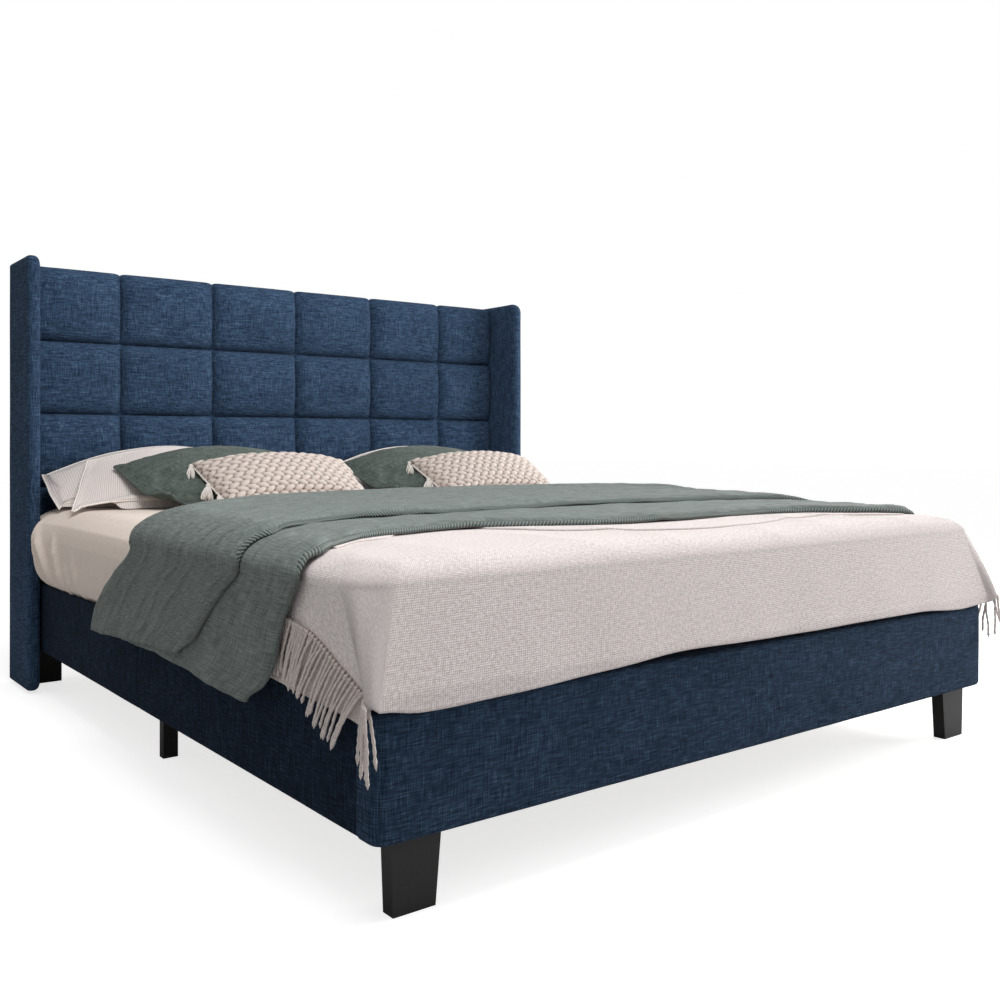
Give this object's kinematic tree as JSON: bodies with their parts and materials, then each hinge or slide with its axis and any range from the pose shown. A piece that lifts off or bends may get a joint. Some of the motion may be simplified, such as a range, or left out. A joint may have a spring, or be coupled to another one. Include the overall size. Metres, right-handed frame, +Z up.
{
  "type": "upholstered bed",
  "caption": "Upholstered bed with a tall tufted headboard between side wings, padded rails and footboard, slatted base, and its mattress, pillows, blankets and fringed throw.",
  "frame": {"origin": "on the floor, under the middle of the whole bed", "axes": "+Y from the footboard to the headboard, +Z up, +X to the right seen from the foot of the bed"},
  "size_m": [2.0892, 2.2236, 1.405],
  "materials": {
    "navy_fabric": "matte",
    "back_fabric": "matte",
    "board_wood": "matte",
    "pine": "satin",
    "black_wood": "satin",
    "plated_steel": "satin",
    "bolt_steel": "satin",
    "brass": "satin",
    "black_steel": "satin",
    "foot_rubber": "matte",
    "webbing": "matte",
    "mattress_cloth": "matte",
    "sheet_cloth": "matte",
    "white_cloth": "matte",
    "green_cloth": "matte",
    "knit": "matte",
    "tassel_yarn": "matte",
    "cream_cloth": "matte"
  },
  "bodies": {
    "bed_frame": {"beam_hangers": "plated_steel", "centre_beam_front": "black_steel", "centre_beam_rear": "black_steel", "centre_beam_sleeve": "black_steel", "centre_leg_front": "black_steel", "centre_leg_middle": "black_steel", "centre_leg_rear": "black_steel", "corner_brackets": "plated_steel", "footboard_core": "pine", "footboard_cover": "navy_fabric", "frame_bolts": "bolt_steel", "front_leg_left": "black_wood", "front_leg_right": "black_wood", "headboard_back_cover": "back_fabric", "headboard_board": "board_wood", "headboard_frame": "pine", "headboard_leg_left": "black_wood", "headboard_leg_right": "black_wood", "headboard_tufted_pad": "navy_fabric", "joining_angles": "plated_steel", "rail_board_left_front": "board_wood", "rail_board_left_rear": "board_wood", "rail_board_right_front": "board_wood", "rail_board_right_rear": "board_wood", "rail_cover_left_front": "navy_fabric", "rail_cover_left_rear": "navy_fabric", "rail_cover_right_front": "navy_fabric", "rail_cover_right_rear": "navy_fabric", "side_leg_left": "black_wood", "side_leg_right": "black_wood", "slat_ledges": "pine", "slat_straps": "webbing", "slats": "pine", "threaded_inserts": "brass", "wing_board_left": "board_wood", "wing_board_right": "board_wood", "wing_cover_left": "navy_fabric", "wing_cover_right": "navy_fabric"},
    "mattress": {"mattress": "mattress_cloth", "fitted_sheet": "sheet_cloth"},
    "cream_blanket": {"cream_blanket": "cream_cloth"},
    "fringed_throw": {"fringed_throw": "cream_cloth", "throw_fringe": "cream_cloth"},
    "green_blanket": {"green_blanket": "green_cloth"},
    "white_pillow_back_left": {"white_pillow_back_left": "white_cloth"},
    "white_pillow_front_left": {"white_pillow_front_left": "white_cloth"},
    "green_pillow_left": {"green_pillow_left": "green_cloth"},
    "knit_cushion_left": {"knit_cushion_left": "knit", "tassels_left": "tassel_yarn"},
    "white_pillow_back_right": {"white_pillow_back_right": "white_cloth"},
    "white_pillow_front_right": {"white_pillow_front_right": "white_cloth"},
    "green_pillow_right": {"green_pillow_right": "green_cloth"},
    "knit_cushion_right": {"knit_cushion_right": "knit", "tassels_right": "tassel_yarn"},
    "foot_pad_front": {"foot_pad_front": "foot_rubber"},
    "level_stem_front": {"level_stem_front": "plated_steel"},
    "foot_pad_middle": {"foot_pad_middle": "foot_rubber"},
    "level_stem_middle": {"level_stem_middle": "plated_steel"},
    "foot_pad_rear": {"foot_pad_rear": "foot_rubber"},
    "level_stem_rear": {"level_stem_rear": "plated_steel"}
  },
  "joints": [
    {"name": "mattress_lift", "type": "slide", "parent": "bed_frame", "child": "mattress", "axis": [0, 0, 1], "range_m": [0, 0.3]},
    {"name": "cream_blanket_lift", "type": "slide", "parent": "mattress", "child": "cream_blanket", "axis": [0, 0, 1], "range_m": [0, 0.35]},
    {"name": "throw_lift", "type": "slide", "parent": "cream_blanket", "child": "fringed_throw", "axis": [0, 0, 1], "range_m": [0, 0.35]},
    {"name": "green_blanket_lift", "type": "slide", "parent": "fringed_throw", "child": "green_blanket", "axis": [0, 0, 1], "range_m": [0, 0.35]},
    {"name": "white_pillow_back_left_lift", "type": "slide", "parent": "mattress", "child": "white_pillow_back_left", "axis": [0, 0, 1], "range_m": [0, 0.25]},
    {"name": "white_pillow_front_left_lift", "type": "slide", "parent": "white_pillow_back_left", "child": "white_pillow_front_left", "axis": [0, 0, 1], "range_m": [0, 0.25]},
    {"name": "green_pillow_left_lift", "type": "slide", "parent": "white_pillow_front_left", "child": "green_pillow_left", "axis": [0, 0, 1], "range_m": [0, 0.25]},
    {"name": "knit_cushion_left_lift", "type": "slide", "parent": "green_pillow_left", "child": "knit_cushion_left", "axis": [0, 0, 1], "range_m": [0, 0.25]},
    {"name": "white_pillow_back_right_lift", "type": "slide", "parent": "mattress", "child": "white_pillow_back_right", "axis": [0, 0, 1], "range_m": [0, 0.25]},
    {"name": "white_pillow_front_right_lift", "type": "slide", "parent": "white_pillow_back_right", "child": "white_pillow_front_right", "axis": [0, 0, 1], "range_m": [0, 0.25]},
    {"name": "green_pillow_right_lift", "type": "slide", "parent": "white_pillow_front_right", "child": "green_pillow_right", "axis": [0, 0, 1], "range_m": [0, 0.25]},
    {"name": "knit_cushion_right_lift", "type": "slide", "parent": "green_pillow_right", "child": "knit_cushion_right", "axis": [0, 0, 1], "range_m": [0, 0.25]},
    {"name": "foot_pad_front_travel", "type": "slide", "parent": "bed_frame", "child": "foot_pad_front", "axis": [0, 0, 1], "range_m": [0, 0.01]},
    {"name": "level_stem_front_turn", "type": "hinge", "parent": "foot_pad_front", "child": "level_stem_front", "pos_m": [0, -0.491, 0.008], "axis": [0, 0, 1], "range_deg": [0, 2401]},
    {"name": "foot_pad_middle_travel", "type": "slide", "parent": "bed_frame", "child": "foot_pad_middle", "axis": [0, 0, 1], "range_m": [0, 0.01]},
    {"name": "level_stem_middle_turn", "type": "hinge", "parent": "foot_pad_middle", "child": "level_stem_middle", "pos_m": [0, 0.009, 0.008], "axis": [0, 0, 1], "range_deg": [0, 2401]},
    {"name": "foot_pad_rear_travel", "type": "slide", "parent": "bed_frame", "child": "foot_pad_rear", "axis": [0, 0, 1], "range_m": [0, 0.01]},
    {"name": "level_stem_rear_turn", "type": "hinge", "parent": "foot_pad_rear", "child": "level_stem_rear", "pos_m": [0, 0.508, 0.008], "axis": [0, 0, 1], "range_deg": [0, 2401]}
  ],
  "couplings": [
    {"joint": "level_stem_front_turn", "follows": "foot_pad_front_travel", "rad_per_m": 4188.8},
    {"joint": "level_stem_middle_turn", "follows": "foot_pad_middle_travel", "rad_per_m": 4188.8},
    {"joint": "level_stem_rear_turn", "follows": "foot_pad_rear_travel", "rad_per_m": 4188.8}
  ]
}
